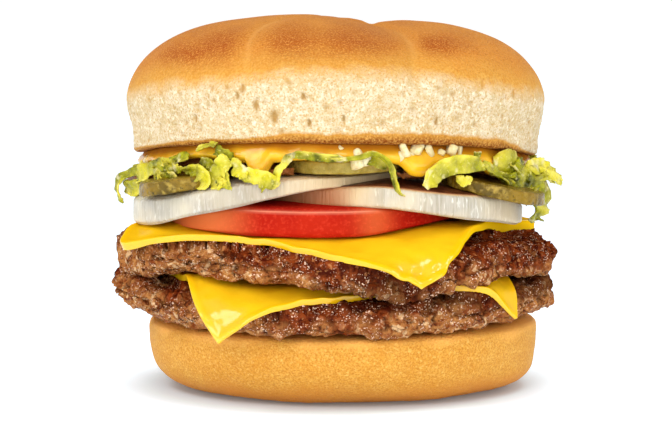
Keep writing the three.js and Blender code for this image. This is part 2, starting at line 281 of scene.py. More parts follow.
def dress(piece, look, slot, *nodes):
    """Gives a finished piece its material, and lets it stand for its CAD nodes."""
    piece.data.materials.clear()
    piece.data.materials.append(look)
    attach(piece, "root")
    if nodes:
        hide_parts(*nodes)
    triangles = sum(len(p.vertices) - 2 for p in piece.data.polygons)
    print(f"{piece.name}: {triangles} triangles")


# %% [markdown]
# ## The bread
# One bun, cut in two. The crown baked uppermost: its crust runs from tan at the shoulder to brown on top,
# where three swells met in the tin. Below the crust is the pale side, which touched the next bun and tore
# open: it is soft crumb with pores. The cut edge was toasted brown on the grill.

# %% Crown shape
# Where two swells met, a fold runs from the top towards the front: where it ends, how it bends, its width
# and its depth.
FOLDS = [{"end": 17.6, "bend": -0.0057, "width": 1.5, "depth": 0.75},
         {"end": -20.5, "bend": 0.0119, "width": 2.4, "depth": 0.45}]
# Across the first fold the whole top dips, because the two swells rose apart.
DIP = {"wide": 5.5, "depth": 1.0}
FOLD_FRONT = -45
FOLD_BACK = -5
CUT_ARCH = {"top": 62, "side": 5.8, "side_reach": 49, "front": 0.0008, "back": 0.0012, "ridge": -14,
            "lean": 0.01}
# The deepest pores: their place round the crown in degrees, their height, and their size.
PITS = [(-115, 73.6, 0.6), (-116.5, 72, 0.5), (-111.5, 69.8, 0.7), (-106.5, 67.3, 0.9), (-131, 66.6, 0.5),
        (-98.5, 72, 0.5), (-97, 66, 0.5), (-88, 67, 0.4), (-62, 66, 0.5), (-35, 72, 0.6), (-48, 74.5, 0.5)]
# The brownest places on the crust, in the middle of each swell: across, height, half width, half height.
OVEN_SPOTS = [(-34, 81, 8, 3.5), (-26, 82, 9, 4.5), (-9, 82.5, 7, 4.5), (5, 82.5, 9, 5.5), (24, 83.5, 7, 3)]


# %% Where the crust begins, and where the folds run
def cut_height(x, y):
    """Height of the crown's cut face, an arch over the fillings."""
    side = CUT_ARCH["side"] * (abs(x) / CUT_ARCH["side_reach"]) ** 3
    along = y - CUT_ARCH["ridge"]
    ends = (CUT_ARCH["front"] if along < 0 else CUT_ARCH["back"]) * along ** 2
    return CUT_ARCH["top"] - side - ends - CUT_ARCH["lean"] * x


def crust_line(p):
    """How far a point is above the line where the crust begins, in millimetres."""
    towards_front = abs(sin(atan2(p.y, p.x)))
    line = 69.0 + 6.5 * towards_front ** 1.5 + 1.5 * fractal(p, 16) + 0.8 * fractal(p, 5)
    return p.z - line


def beside(p, f):
    """How far a point is beside a fold, across the crown."""
    return p.x - f["end"] - f["bend"] * (min(p.y, FOLD_BACK) - FOLD_FRONT) ** 2


def fold(p, widen=1.0):
    """How deep the folds between the swells are at a point."""
    lines = [exp(-(beside(p, f) / (widen * f["width"])) ** 2) * f["depth"] for f in FOLDS]
    return sum(lines) * smoothstep(70, 80, p.z) * smoothstep(25, 0, p.y)


def dip(p):
    wide = DIP["wide"] * (1.0 if beside(p, FOLDS[0]) > 0 else 1.6)
    return DIP["depth"] * exp(-(beside(p, FOLDS[0]) / wide) ** 2) * smoothstep(74, 84, p.z)


def seam(p):
    """1 on the thin skin that stayed pale along the folds."""
    lines = [exp(-((beside(p, f) + 0.5 * fractal(p, 4)) / 0.6) ** 2) for f in FOLDS]
    return max(lines) * smoothstep(74, 80, p.z) * smoothstep(-14, -26, p.y) * (0.6 + 0.4 * fractal(p, 5))


# %% Pores, toast and the brown of the oven
def pore(p):
    """1 in the middle of a pore, 0 on whole crumb. About one cell in three holds a pore."""
    distances, places = noise.voronoi(p / 2.1)
    held = smoothstep(-0.05, 0.3, noise.noise(places[0] * 3.7))
    deep = max(0, 1 - distances[0] / 0.42) * held
    angle = degrees(atan2(p.y, p.x))
    for at, z, size in PITS:
        near = hypot(radians(angle - at) * 50, (p.z - z) * 0.5) / size
        deep = max(deep, clamp(2.2 - 2 * near))
    return deep


def crown_relief(p, n):
    crust = smoothstep(-1, 4, crust_line(p))
    relief = 0.5 * fractal(p, 24) + 0.14 * fractal(p, 7) - fold(p) - dip(p)
    if crust < 1:
        torn = 0.35 * fractal(p, 5) + 0.2 * fractal(p, 1.3) - 0.6 * pore(p)
        relief += (1 - crust) * torn * smoothstep(0.75, 0.4, abs(n.z))
    return relief


def toasted(p):
    """How far up the toast has browned the rim: 1 at the cut face, 0 on pale crumb."""
    ends = smoothstep(48, 40, p.x)
    if p.y < 0:
        ends *= 0.25 + 0.75 * smoothstep(-24, -8, p.x)
    reach = (3.5 + 1.1 * fractal(p, 11) + 0.6 * fractal(p, 2.5)) * (0.3 + 0.7 * ends)
    return smoothstep(reach, 0.1 * reach, p.z - cut_height(p.x, p.y))


def oven_brown(p):
    spots = max(exp(-((p.x - x) / wide) ** 2 - ((p.z - z) / high) ** 2) for x, z, wide, high in OVEN_SPOTS)
    paler = 0.3 * smoothstep(16, 32, p.x)
    return clamp(0.15 + 0.95 * spots + 0.35 * fractal(p, 9) - 1.2 * fold(p, 1.6) - paler)


# %% Crown mesh
crown = subdivide(make_piece("crown", merged_copy("bun_top")))
refine(crown, lambda p: 58 < p.z < 77 and hypot(p.x, p.y) > 44 and p.y < 5)
sculpt(crown, crown_relief)
brush(crown, "rise", lambda p, n: clamp((crust_line(p) + 0.7 * fractal(p, 1.8) + 3) / 16))
brush(crown, "brown", lambda p, n: oven_brown(p))
brush(crown, "toast", lambda p, n: toasted(p))
brush(crown, "pore", lambda p, n: pore(p))
brush(crown, "seam", lambda p, n: clamp(seam(p)))


# %% Material helpers
def attribute(tree, name):
    """What a brush stored on the mesh, as a value."""
    return add(tree, "ShaderNodeAttribute", attribute_name=name).outputs["Fac"]


def spread(tree, value, low, high):
    """A value spread to 0..1 between low and high."""
    return add(tree, "ShaderNodeMapRange", {"Value": value, "From Min": low, "From Max": high}).outputs[0]


def mixed(tree, share, first, second):
    """The second colour laid over the first, as thickly as the share says."""
    mix = add(tree, "ShaderNodeMix", data_type="RGBA")
    for socket, value in ((0, share), (6, first), (7, second)):
        if isinstance(value, bpy.types.NodeSocket):
            tree.links.new(value, mix.inputs[socket])
        else:
            mix.inputs[socket].default_value = linear(value) if isinstance(value, str) else value
    return mix.outputs[2]


def grains(tree, size, detail=2, low=0.35, high=0.65, squash=(1, 1, 1)):
    """Noise with grains of that many millimetres, longer where squash is under 1."""
    place = add(tree, "ShaderNodeTexCoord").outputs["Object"]
    place = add(tree, "ShaderNodeMapping", {"Vector": place, "Scale": squash}).outputs["Vector"]
    field = add(tree, "ShaderNodeTexNoise", {"Vector": place, "Scale": 1 / (size * MM), "Detail": detail})
    return spread(tree, field.outputs["Fac"], low, high)


def finish(tree, colour, height, depth, **shader):
    """The shader itself: colour, a fine bump of that many millimetres, and plain settings."""
    bump = add(tree, "ShaderNodeBump", {"Height": height, "Distance": depth * MM, "Strength": 1.0})
    inputs = {name.replace("_", " "): value for name, value in shader.items()}
    inputs |= {"Base Color": colour, "Subsurface Scale": MM, "Normal": bump.outputs["Normal"]}
    surface = add(tree, "ShaderNodeBsdfPrincipled", inputs)
    add(tree, "ShaderNodeOutputMaterial", {"Surface": surface.outputs["BSDF"]})


# %% Bread material
# A baked wheat bun, torn from its neighbours. The crumb is dull, and light sinks into it a little. The crust
# is a thin dry skin, so it has a fine grain but hardly any gloss.
bread, tree = material("baked_wheat_bun")
crumb = mixed(tree, grains(tree, 2.4), "#D6BC8E", "#E6D2B0")
crumb = mixed(tree, grains(tree, 0.45, 3, 0.48, 0.64), crumb, "#CCA468")
crumb = mixed(tree, grains(tree, 0.8, 2, 0.55, 0.75), crumb, "#F8EACB")
# Painted shade in the pores: their middles are painted darker, on top of the hollows that are carved.
crumb = mixed(tree, attribute(tree, "pore"), crumb, "#B98F52")
tan = mixed(tree, grains(tree, 0.6), "#E0AA50", "#D29034")
crust = mixed(tree, attribute(tree, "brown"), "#D4862F", "#AA500A")
crust = mixed(tree, grains(tree, 0.4, 2, 0.45, 0.75), crust, "#E2A04C")
crust = mixed(tree, grains(tree, 0.5, 2, 0.55, 0.85), crust, "#A8500E")
crust = mixed(tree, attribute(tree, "seam"), crust, "#E2A252")
rise = attribute(tree, "rise")
colour = mixed(tree, spread(tree, rise, 0.12, 0.4), crumb, tan)
colour = mixed(tree, spread(tree, rise, 0.3, 0.72), colour, crust)
toast = attribute(tree, "toast")
browned = mixed(tree, spread(tree, toast, 0.35, 0.95), "#C28430", "#86400E")
browned = mixed(tree, grains(tree, 0.5, 2, 0.4, 0.8), browned, "#E2A850")
colour = mixed(tree, spread(tree, toast, 0.02, 0.3), colour, browned)
finish(tree, colour, grains(tree, 0.5, 3, 0.3, 0.7), 0.2, Roughness=0.6, Subsurface_Weight=0.1,
       Subsurface_Radius=(1.2, 0.7, 0.35), Specular_IOR_Level=0.1)
dress(crown, bread, "bread", "bun_top")

# %% Heel
heel_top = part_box("bun_heel")[1].z / MM
# Below this height the heel stays as flat as it stands.
FOOT_RISE = 0.5
SQUAT = {"left": 1.4, "right": 2.6}


def squat(p, n):
    """The heel sits squat: its foot spreads at the sides, and its front bulges forward."""
    out = hypot(p.x, p.y)
    rim = smoothstep(34, 40, out)
    foot = smoothstep(10, 1, p.z) * smoothstep(30, 38, out) * abs(cos(atan2(p.y, p.x)))
    shoulder = 0.12 * smoothstep(13, 16.5, p.z) * smoothstep(38, 42, out)
    spread_out = (foot + shoulder) * SQUAT["right" if p.x > 0 else "left"]
    belly = 2.4 * smoothstep(3, 13, p.z) * smoothstep(-8, -40, p.y) * rim
    return Vector((p.x, p.y, 0)).normalized() * spread_out \
        + Vector((0.6 * rim * smoothstep(28, 44, p.x), -belly, 0))


heel = shift(subdivide(make_piece("heel", merged_copy("bun_heel"))), squat)
sculpt(heel, lambda p, n: 0.35 * fractal(p, 18) + 0.1 * fractal(p, 2.2) if p.z > FOOT_RISE else 0)
brush(heel, "foot", lambda p, n: smoothstep(7.0, 1.0, p.z + 1.5 * fractal(p, 9)))
# Painted light: the band just under the top edge, in the patty's shade, is painted lighter.
brush(heel, "greasy", lambda p, n: smoothstep(3.5, 0.0, heel_top - p.z + 1.8 * fractal(p, 8)))

# %% Heel material
# The underside of the same bun: an even golden skin, darker round the foot. The band under its top edge
# lies in the patty's shade and is painted lighter: painted light.
under, tree = material("baked_bun_underside")
colour = mixed(tree, grains(tree, 6), "#E6AA4A", "#E09E3C")
colour = mixed(tree, grains(tree, 0.4, 3, 0.42, 0.66), colour, "#CC8028")
colour = mixed(tree, grains(tree, 0.6, 2, 0.55, 0.8), colour, "#F4C56A")
colour = mixed(tree, attribute(tree, "foot"), colour, "#DC8A34")
# Painted light: a lighter band where the patty's shade falls on the heel.
colour = mixed(tree, attribute(tree, "greasy"), colour, "#FFB85A")
finish(tree, colour, grains(tree, 0.5, 3, 0.3, 0.7), 0.2, Roughness=0.6, Subsurface_Weight=0.1,
       Subsurface_Radius=(1.2, 0.7, 0.35), Specular_IOR_Level=0.1)
dress(heel, under, "bread", "bun_heel")

# %% [markdown]
# ## The cheese
# Two square slices, melted just enough to bend over the patties and hang down at their corners. Only the
# upper skin of the CAD slice is kept: subdivision smooths it, Solidify gives it its thickness again and
# Bevel rounds its cut edge, which is still crisp on a slice that has only begun to melt.

# %% The upper skin of a slice
SHARP = radians(50)
CORNER = radians(125)


def upper_skin(node):
    """The faces that can be reached from the top of the slice without crossing a sharp edge."""
    bm = merged_copy(node)
    first = max(bm.faces, key=lambda face: face.normal.z - face.calc_center_median().xy.length * 5)
    reached, frontier = {first}, [first]
    while frontier:
        for edge in frontier.pop().edges:
            if edge.calc_face_angle(0) < SHARP:
                fresh = [face for face in edge.link_faces if face not in reached]
                reached.update(fresh)
                frontier.extend(fresh)
    bmesh.ops.delete(bm, geom=[face for face in bm.faces if face not in reached], context="FACES")
    return bm


def keep_corners(bm, chosen):
    """Creases the skin's corners, so that subdivision leaves them pointed."""
    layer = bm.verts.layers.float.new("crease_vert")
    for vert in bm.verts:
        rim = [edge.other_vert(vert).co - vert.co for edge in vert.link_edges if edge.is_boundary]
        if len(rim) == 2 and rim[0].angle(rim[1]) < CORNER and chosen(vert.co / MM):
            vert[layer] = 1


# %% How the slices melt
# The left corner of the upper slice has melted round: where it was, and how far back it went.
MELTED_CORNER = Vector((-53.5, -28, 36))
MELTED_REACH = 9
# How far the slices' front edges have risen or sagged: the place across, and by how much.
UPPER_SAG = [(-53, 0), (-44, 0.7), (-38, 0.9), (-28, 0.2), (-15, -1.2), (-5, -2.0), (0, -2.2), (7, -1.6),
             (14, -1.0), (20, -0.3), (25, 0)]
LOWER_SAG = [(-26, 0), (-18, -1.0), (-10, -1.7), (0, -2.0), (8, -1.6), (14, -0.6), (18, 0)]


def bent_up(p):
    """At the right the upper slice bends up to the tomato, and the tomato's lower edge bends with it."""
    return 1.6 * smoothstep(4, 24, p.x) * smoothstep(-12, -26, p.y)


def melt_upper(p, n):
    """Draws the melted left corner back, sets the right one down, and lets the front edge sag."""
    inwards = Vector((-MELTED_CORNER.x, -MELTED_CORNER.y, 0)).normalized()
    along = (p - MELTED_CORNER).dot(inwards)
    right = 0.4 * smoothstep(30, 40, p.x) + 1.2 * smoothstep(42, 50, p.x)
    tip = smoothstep(33, 27, p.z) * smoothstep(-40, -46, p.y)
    left = smoothstep(-28, -38, p.x) * smoothstep(-48, -42, p.x) * smoothstep(-36, -28, p.y)
    sag = along_list(UPPER_SAG, p.x) * smoothstep(-42, -49, p.y + 0.1 * abs(p.x))
    bent = bent_up(p) * smoothstep(46, 36, p.x) * smoothstep(-46, -34, p.y)
    up = left - right + 1.6 * tip + sag + bent
    return inwards * 0.3 * max(0, MELTED_REACH - along) \
        + Vector((-1.4 * smoothstep(38, 50, p.x) - 1.9 * tip, 0, up))


def melt_lower(p, n):
    """Draws the front edge back between the two corners, and sets the corners to where they hang."""
    front = smoothstep(-36, -50, p.y)
    back = 4.5 * front * exp(-((p.x - 18) / 8) ** 2)
    right = -6.5 * smoothstep(32, 48, p.x) * smoothstep(-5, -20, p.y)
    hanging = smoothstep(26, 16, p.z) * smoothstep(-5, -20, p.x)
    sag = along_list(LOWER_SAG, p.x) * smoothstep(-42, -48, p.y)
    bulge = 2.4 * exp(-((p.x + 31) / 8) ** 2 - ((p.y + 38) / 7) ** 2)
    return Vector((right + 0.8 * hanging, back, sag + bulge))


def soft_waves(p):
    """The waves of a soft slice, the creases on its hanging tip, and its uneven edge."""
    pulled = smoothstep(38, 34, p.z) * smoothstep(25, 29, p.z) * smoothstep(12, 17, p.x)
    pulled *= smoothstep(30, 25, p.x)
    creases = 0.9 * fractal(Vector((p.x * 0.7 + p.z * 0.4, 0, p.z * 1.2 - p.x * 0.5)), 2.6)
    edge = 0.25 * fractal(p, 3.2) * smoothstep(-40, -44, p.y)
    return 0.35 * fractal(p, 16) + 0.2 * fractal(p, 6) + pulled * creases * smoothstep(-42, -47, p.y) + edge


def upper_thickness(p):
    tips = 1.0 * smoothstep(30, 42, p.x) + 0.6 * smoothstep(-42, -50, p.x)
    return 0.9 + 0.6 * smoothstep(33, 37, p.z) + tips


def lower_thickness(p):
    return 0.9 + 0.6 * smoothstep(22, 27, p.z)


# %% Cheese slices
EDGE_ROUNDING = 0.42
# How much the lip stands up, and how far from the edge the front of a slice is made finer for it.
LIP_HEIGHT = 0.35
LIP_FINE = 4


def edge_places(slab):
    """The places on the edge of an open skin, for a quick search of the nearest."""
    bm = bmesh.new()
    bm.from_mesh(slab.data)
    border = [vert.co for vert in bm.verts if vert.is_boundary]
    places = KDTree(len(border))
    for i, place in enumerate(border):
        places.insert(place, i)
    places.balance()
    bm.free()
    return places


def skin_surface(slab):
    bm = bmesh.new()
    bm.from_mesh(slab.data)
    surface = BVHTree.FromBMesh(bm)
    bm.free()
    return surface


def cheese_slice(name, node, melt, thickness, sharp):
    """The slice, and its upper skin to lay the meat against."""
    bm = upper_skin(node)
    keep_corners(bm, sharp)
    slab = shift(subdivide(make_piece(name, bm)), melt)
    edge = edge_places(slab)

    def lip(p):
        """The rim of a melting slice swells: 1 on the lip, 0 well inside, and a shallow trough between."""
        away = edge.find(p * MM)[2] / MM
        return smoothstep(2.2, 0.7, away) - 0.35 * exp(-((away - 3.4) / 1.1) ** 2)

    refine(slab, lambda p: p.y < -36 and edge.find(p * MM)[2] < LIP_FINE * MM)
    sculpt(slab, lambda p, n: soft_waves(p) + LIP_HEIGHT * lip(p))
    skin = skin_surface(slab)
    thickest = max(thickness(v.co / MM) for v in slab.data.vertices)
    group = slab.vertex_groups.new(name="thick")
    for v in slab.data.vertices:
        group.add([v.index], thickness(v.co / MM) / thickest, "REPLACE")
    wall = slab.modifiers.new("wall", "SOLIDIFY")
    wall.thickness = thickest * MM
    wall.offset = -1
    wall.use_even_offset = True
    wall.vertex_group = "thick"
    rim = slab.modifiers.new("rim", "BEVEL")
    rim.width = EDGE_ROUNDING * MM
    rim.segments = 3
    rim.limit_method = "ANGLE"
    rim.angle_limit = radians(60)
    settle(slab)
    slab.data.shade_smooth()
    brush(slab, "lip", lambda p, n: clamp(lip(p)))
    brush(slab, "dull", lambda p, n: max(smoothstep(0.65, 0.85, n.z), smoothstep(0.55, 0.8, n.x)))
    return slab, skin


cheese_upper, upper_top = cheese_slice("cheese_upper_slice", "cheese_upper", melt_upper, upper_thickness,
                                       lambda p: abs(p.x) < 45)
cheese_lower, lower_top = cheese_slice("cheese_lower_slice", "cheese_lower", melt_lower, lower_thickness,
                                       lambda p: p.x > -45)

# %% Cheese material
# Processed cheese, warm: a smooth wet skin with soft highlights, and some light passes into it. Where a slice
# is seen along its surface it is kept dull, because there the white surroundings would bleach it.
cheese, tree = material("melted_american_cheese")
colour = mixed(tree, grains(tree, 9), "#F2BE18", "#EAB414")
colour = mixed(tree, attribute(tree, "lip"), colour, "#F6BC0E")
shine = add(tree, "ShaderNodeMapRange",
            {"Value": attribute(tree, "dull"), "To Min": 0.6, "To Max": 0.0}).outputs[0]
finish(tree, colour, grains(tree, 2.5), 0.03, Roughness=0.16, Subsurface_Weight=0.2,
       Subsurface_Radius=(2.2, 1.6, 0.3), Specular_IOR_Level=shine)
dress(cheese_upper, cheese, "cheese", "cheese_upper")
dress(cheese_lower, cheese, "cheese", "cheese_lower")

# %% [markdown]
# ## The patties
# Ground beef pressed thin on a hot griddle: a crumbly rim, charred above, where it lay on the griddle, and
# paler below, with cracks, bits of fat and many small glints. The glints are painted as pale specks, and the
# cracks and the seam where the rims meet are painted near black, as painted shade. Layered noise gives the
# crumbs. Only the rim shows, so only the rim is made fine.

# %% How the rims lie
# Where no cheese lies between the patties, their rims meet: the angle, how far round, and by how much.
MEETINGS = [(-172, 26, 2.0), (-70, 10, 1.0), (-8, 18, 1.6), (80, 45, 1.6)]
# The upper patty's rim also droops over the front edge of the slice below it, and stands clear of it where
# the slice comes out on the left.
DROOP = {"at": -69.5, "wide": 10}
CLEAR = {"at": -128, "wide": 22}


def around(angle, at, wide):
    """1 at that angle round the burger, and less and less beside it."""
    return exp(-(((angle - at + 180) % 360 - 180) / wide) ** 2)


def meeting(angle, reach):
    """How far a rim comes towards the other patty."""
    return sum(much * around(angle, at, wide) for at, wide, much in MEETINGS) * smoothstep(44, 50, reach)


def settle_upper(p, n):
    """Brings the upper rim down to the lower one where no cheese is between, and rounds it off."""
    reach, angle = hypot(p.x, p.y), degrees(atan2(p.y, p.x))
    lift = -max(0, -n.z) * meeting(angle, reach)
    lift -= 2.2 * around(angle, **DROOP) * smoothstep(48, 52, reach) * smoothstep(0.4, -0.4, n.z)
    lift += 2.4 * around(angle, **CLEAR) * smoothstep(40, 46, reach) * smoothstep(0.9, -0.9, n.z)
    lift -= 2.0 * max(0, n.z) * smoothstep(49, 53, reach) * abs(cos(radians(angle)))
    lift -= 1.0 * max(0, n.z) * smoothstep(40, 47, p.x)
    aside = 0.8 * smoothstep(-20, -50, p.x) - 1.1 * smoothstep(-50, 50, p.x)
    return Vector((aside, 0, lift))


def settle_lower(p, n):
    """Brings the lower rim up to the upper one, and turns its ends up, the left one more."""
    reach, angle = hypot(p.x, p.y), degrees(atan2(p.y, p.x))
    turned_up = (3.7 if p.x < 0 else 1.3) * cos(radians(angle)) ** 2
    lift = max(0, n.z) * meeting(angle, reach)
    lift += turned_up * smoothstep(0.9, -0.8, n.z) * smoothstep(44, 50, reach)
    aside = 0.9 * smoothstep(-30, -50, p.x) - 0.5 * smoothstep(30, 50, p.x) - 1.2
    return Vector((aside, 0, lift))


# %% Ground meat
PATTY_FINE_FROM = 43


def layered(p, size, layers=4):
    """Noise with finer and finer bumps on the big ones, from about -1 to 1."""
    return noise.fractal(p / size, 0.7, 2.0, layers)


def cracked(p):
    """1 in the middle of a crack in the meat, 0 beside it. Cracks run where the noise is close to zero."""
    wide = 0.07 + 0.05 * fractal(p, 7)
    return max(0, 1 - abs(layered(p, 5.5, 2)) / max(wide, 0.02))


def meat_relief(p, n):
    rim = smoothstep(PATTY_FINE_FROM, 50, hypot(p.x, p.y))
    masses = 1.2 * fractal(p, 9) + 1.2 * layered(p, 4.2, 3)
    crumbs = 0.4 * noise.turbulence(p / 2.2, 3, True) - 0.9 * cracked(p)
    crumbs += 1.0 * smoothstep(42, 50, abs(p.x)) * layered(p, 3.0, 2)
    full = 2.0 * abs(n.z) * sqrt(max(0, 1 - n.z ** 2))
    return rim * (masses + crumbs + full)


# %% Patties, laid against the slices
# How far under a slice's skin the meat begins, as a share of the slice's thickness, and how near it must be
# to be drawn up to the slice.
UNDER = 0.9
CLINGS = 2.2
CLEARANCE = 0.05


def lay_against(piece, skin, gap, clings=0.0):
    """Keeps the meat on one side of a slice: gap mm over its skin, or, below zero, that far under it. Meat
    that is within the distance that clings is drawn up to the slice."""
    side = 1 if gap(Vector((0, 0, 0))) > 0 else -1
    moved = 0
    for v in piece.data.vertices:
        place, normal, _, _ = skin.find_nearest(v.co, 7 * MM)
        if place is None:
            continue
        height = (v.co - place).dot(normal)
        beside = (v.co - place - normal * height).length
        wanted = gap(place / MM) * MM
        room = (height - wanted) * side
        if beside < 0.2 * MM and room < clings * MM:
            v.co += normal * (wanted - height)
            moved += 1
    piece.data.update()
    print(f"{piece.name}: {moved} vertices laid against a slice")


def patty(node, settling):
    piece = subdivide(make_piece(f"{node}_beef", merged_copy(node)))
    refine(piece, lambda p: hypot(p.x, p.y) > PATTY_FINE_FROM)
    return sculpt(shift(piece, settling), meat_relief)


patty_upper = patty("patty_upper", settle_upper)
patty_lower = patty("patty_lower", settle_lower)
lay_against(patty_upper, upper_top, lambda p: -UNDER * upper_thickness(p), CLINGS)
lay_against(patty_upper, lower_top, lambda p: CLEARANCE)
lay_against(patty_lower, lower_top, lambda p: -UNDER * lower_thickness(p), CLINGS)

# %% Where the meat is charred
# The paler, less charred places of each: their angle, half their width, and how pale, below zero how dark.
# The dark one at -70 on the upper patty is painted shade, in the gap under its drooping rim.
PALE = {"patty_upper": [(-160, 22, 1.5), (-130, 9, 0.8), (-118, 12, 0.4), (-82, 20, -0.6), (-70, 8, -0.8),
                        (130, 20, 0.4)],
        "patty_lower": [(-160, 22, 1.5), (-127, 10, 0.5), (-95, 16, -0.8), (-64, 13, 1.0), (-22, 18, 1.3),
                        (80, 30, 0.4)]}
SPANS = {node: [corner.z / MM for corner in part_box(node)] for node in PALE}


def risen(p, node):
    """How far up the patty a point is, from -1 to 1."""
    low, high = SPANS[node]
    return (2 * p.z - low - high) / (high - low)


def seared(p, node):
    """1 where the meat is charred, above, and 0 where it is paler."""
    pale = sum(much * around(degrees(atan2(p.y, p.x)), at, wide) for at, wide, much in PALE[node])
    return smoothstep(-0.75, 0.35, risen(p, node) + 1.0 * fractal(p, 5) - pale)


def scorched(p, node):
    """Painted shade where the two rims meet at the front: the darkest place on them."""
    rise = risen(p, node) + 0.6 * fractal(p, 4)
    if p.y > 0:
        return 0
    if node == "patty_lower":
        return 0.65 * smoothstep(-0.1, 0.6, rise) * smoothstep(-18, -6, p.x)
    return 0.6 * smoothstep(1.2, 0.2, rise) * exp(-((p.x - 13) / 10) ** 2)


# %% Beef material
# Minced beef from a hot griddle, wet with its own fat: many small crumbs, and tight glints where fat stands
# on them, painted as pale specks that also get a higher specular level. Char is a very dark, reddish brown,
# and the meat below it a paler one.
beef, tree = material("seared_ground_beef")
meat = mixed(tree, grains(tree, 1.6, 4), "#C08248", "#84401C")
meat = mixed(tree, grains(tree, 1.8, 2, 0.57, 0.65), meat, "#D8AC7C")
char = mixed(tree, grains(tree, 1.8, 4, 0.4, 0.62), "#4A1408", "#8C3E18")
char = mixed(tree, grains(tree, 1.2, 2, 0.6, 0.68), char, "#B87444")
colour = mixed(tree, attribute(tree, "sear"), meat, char)
# Painted shade: near black in the cracks, and where the two rims meet at the front.
colour = mixed(tree, attribute(tree, "crack"), colour, "#341006")
colour = mixed(tree, grains(tree, 0.6, 2, 0.54, 0.7), colour, mixed(tree, 0.6, colour, "#2C0E08"))
drops = grains(tree, 0.45, 2, 0.6, 0.65)
clusters = grains(tree, 3.5, 2, 0.45, 0.58)
wet = add(tree, "ShaderNodeMath", {0: drops, 1: clusters}, operation="MULTIPLY").outputs[0]
# Painted highlights: pale specks for the glints, where the specular level is also raised.
colour = mixed(tree, wet, colour, "#EEC8AC")
level = add(tree, "ShaderNodeMapRange", {"Value": wet, "To Min": 0.08, "To Max": 0.8}).outputs[0]
shine = add(tree, "ShaderNodeMath", {0: level, 1: attribute(tree, "flat")}, operation="SUBTRACT",
            use_clamp=True).outputs[0]
relief = mixed(tree, 0.5, grains(tree, 1.1, 4, 0.3, 0.7), grains(tree, 0.5, 2, 0.3, 0.7))
finish(tree, colour, relief, 0.35, Roughness=0.22, Specular_IOR_Level=shine, Specular_Tint=linear("#FFCCA4"))
for piece, node in ((patty_upper, "patty_upper"), (patty_lower, "patty_lower")):
    brush(piece, "sear", lambda p, n: seared(p, node))
    # The crack attribute holds painted shade: in the cracks, and along the seam where the rims meet.
    brush(piece, "crack", lambda p, n: max(cracked(p), scorched(p, node)))
    brush(piece, "flat", lambda p, n: max(smoothstep(0.6, 0.9, n.z), 0.5 * smoothstep(0.6, 0.9, abs(n.x))))
    dress(piece, beef, "beef", node)

# %% [markdown]
# ## Tomato, onion and pickle
# Slices that a sharp knife cut, so they keep a crisp edge: the edges of their solids are creased before they
# are subdivided, which rounds them by a few tenths of a millimetre only. The slices are soft, and lie on
# what is below them, so their ends are bent a little.


# %% Cut slices
def crease_edges(bm, angle, amount):
    """Keeps the edges that fold by more than the angle from being rounded away."""
    layer = bm.edges.layers.float.new("crease_edge")
    for edge in bm.edges:
        if len(edge.link_faces) == 2 and edge.calc_face_angle(0) > angle:
            edge[layer] = amount


def cut_slice(node, relief):
    bm = merged_copy(node)
    crease_edges(bm, radians(40), 0.7)
    return sculpt(subdivide(make_piece(f"{node}_slice", bm)), relief)


# %% Tomato
tomato_low, tomato_high = (corner.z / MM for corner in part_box("tomato"))


def bend_tomato(p, n):
    """The front of the slice bends up under the onion, and below at the right where the cheese does."""
    front = smoothstep(-18, -36, p.y) * smoothstep(-36, -20, p.x) * smoothstep(40, 26, p.x)
    above = smoothstep(tomato_low, tomato_high, p.z)
    return Vector((0, 0, 1.5 * front * above + bent_up(p) * (1 - above)))


tomato = shift(cut_slice("tomato", lambda p, n: 0.15 * fractal(p, 9)), bend_tomato)
brush(tomato, "orange", lambda p, n: clamp(smoothstep(-16, -32, p.x) + exp(-((p.x - 9) / 4) ** 2) * 0.4))
# A painted highlight: a pale line along the front of the cut edge.
brush(tomato, "rim", lambda p, n: exp(-((n.z - 0.45) / 0.2) ** 2) * smoothstep(-26, -16, p.x)
      * smoothstep(12, 6, p.x) * smoothstep(-20, -26, p.y))

# A ripe tomato's skin and outer flesh, cut and moist: some light goes into the red, and faint paler specks
# show in the flesh. At its left end and in one patch it is less ripe.
flesh, tree = material("ripe_tomato")
colour = mixed(tree, grains(tree, 11), "#A81A10", "#B62614")
colour = mixed(tree, grains(tree, 0.8, 3, 0.5, 0.8), colour, "#CC3A24")
colour = mixed(tree, attribute(tree, "orange"), colour, "#E87C44")
# The painted highlight along the front of the cut edge.
colour = mixed(tree, attribute(tree, "rim"), colour, "#EE9A7A")
finish(tree, colour, grains(tree, 1.2), 0.04, Roughness=0.35, Subsurface_Weight=0.1,
       Subsurface_Radius=(2.5, 0.6, 0.3), Specular_IOR_Level=0.0)
dress(tomato, flesh, "tomato", "tomato")

# %% Onion material
# Raw white onion, cut across its layers: wet, milky, with fine upright fibres. Its browns are painted shade,
# on the right slice where it lies under the left one and on its top face; both slices turn a warmer beige in
# places.
onion, tree = material("raw_white_onion")
fibres = grains(tree, 0.6, 3, 0.35, 0.65, squash=(1, 1, 0.08))
colour = mixed(tree, fibres, "#CCC3B5", "#B2A894")
colour = mixed(tree, grains(tree, 0.7, 2, 0.58, 0.7, squash=(1, 1, 0.3)), colour, "#E4E0D4")
colour = mixed(tree, grains(tree, 9, 2, 0.45, 0.75), colour, "#DCD0B6")
# Painted shade: one patch on the left slice, where it stands out into the light, is painted darker.
colour = mixed(tree, attribute(tree, "clear"), colour, "#A4927A")
# A warm beige tint, then brown as painted shade where the right slice lies under the left one.
soaked = attribute(tree, "juice")
colour = mixed(tree, spread(tree, soaked, 0.0, 0.5), colour, "#DCC094")
colour = mixed(tree, spread(tree, soaked, 0.5, 1.0), colour, "#BC7E52")
